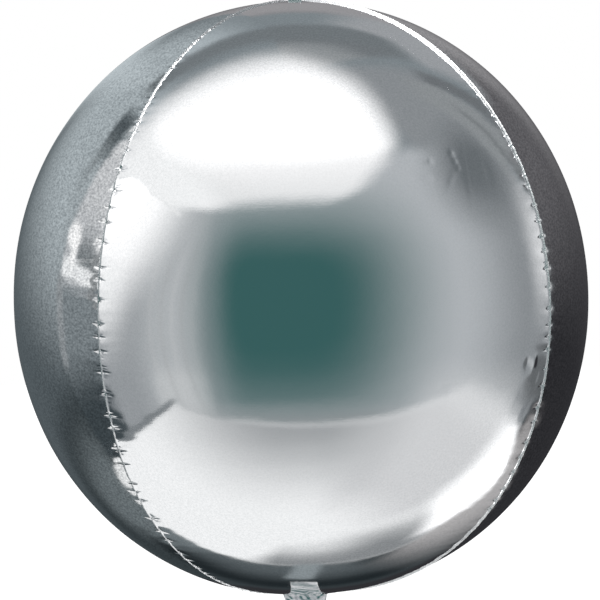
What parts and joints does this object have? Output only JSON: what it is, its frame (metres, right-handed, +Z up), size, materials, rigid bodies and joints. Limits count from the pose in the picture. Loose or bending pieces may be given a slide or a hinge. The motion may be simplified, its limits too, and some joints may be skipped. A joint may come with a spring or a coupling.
{
  "type": "sphere foil balloon",
  "caption": "Silver mirror-film balloon, a near-round ball of welded gores with standing seams, a small crown tab and a flat filling tail that hangs from the bottom.",
  "frame": {"origin": "middle of the filled ball, where the air that it floats in holds it up", "axes": "+Z up through the crown tab, -Y out of the middle of the front gore, +X out of the middle of the right gore"},
  "size_m": [0.38, 0.38, 0.4735],
  "materials": {
    "silver_film": "mirror-bright metallised film",
    "welded_film": "heat-welded metallised film, finely crimped",
    "tail_film": "limp metallised film, softly creased",
    "valve_film": "thin clear film"
  },
  "bodies": {
    "root": {"gore_front": "silver_film", "gore_right": "silver_film", "gore_back": "silver_film", "gore_left": "silver_film", "seam_front_right": "welded_film", "seam_back_right": "welded_film", "seam_back_left": "welded_film", "seam_front_left": "welded_film", "crown_tab": "welded_film", "tail_front_leaf": "tail_film", "tail_back_leaf": "tail_film", "valve_front_film": "valve_film", "valve_back_film": "valve_film"}
  },
  "joints": []
}
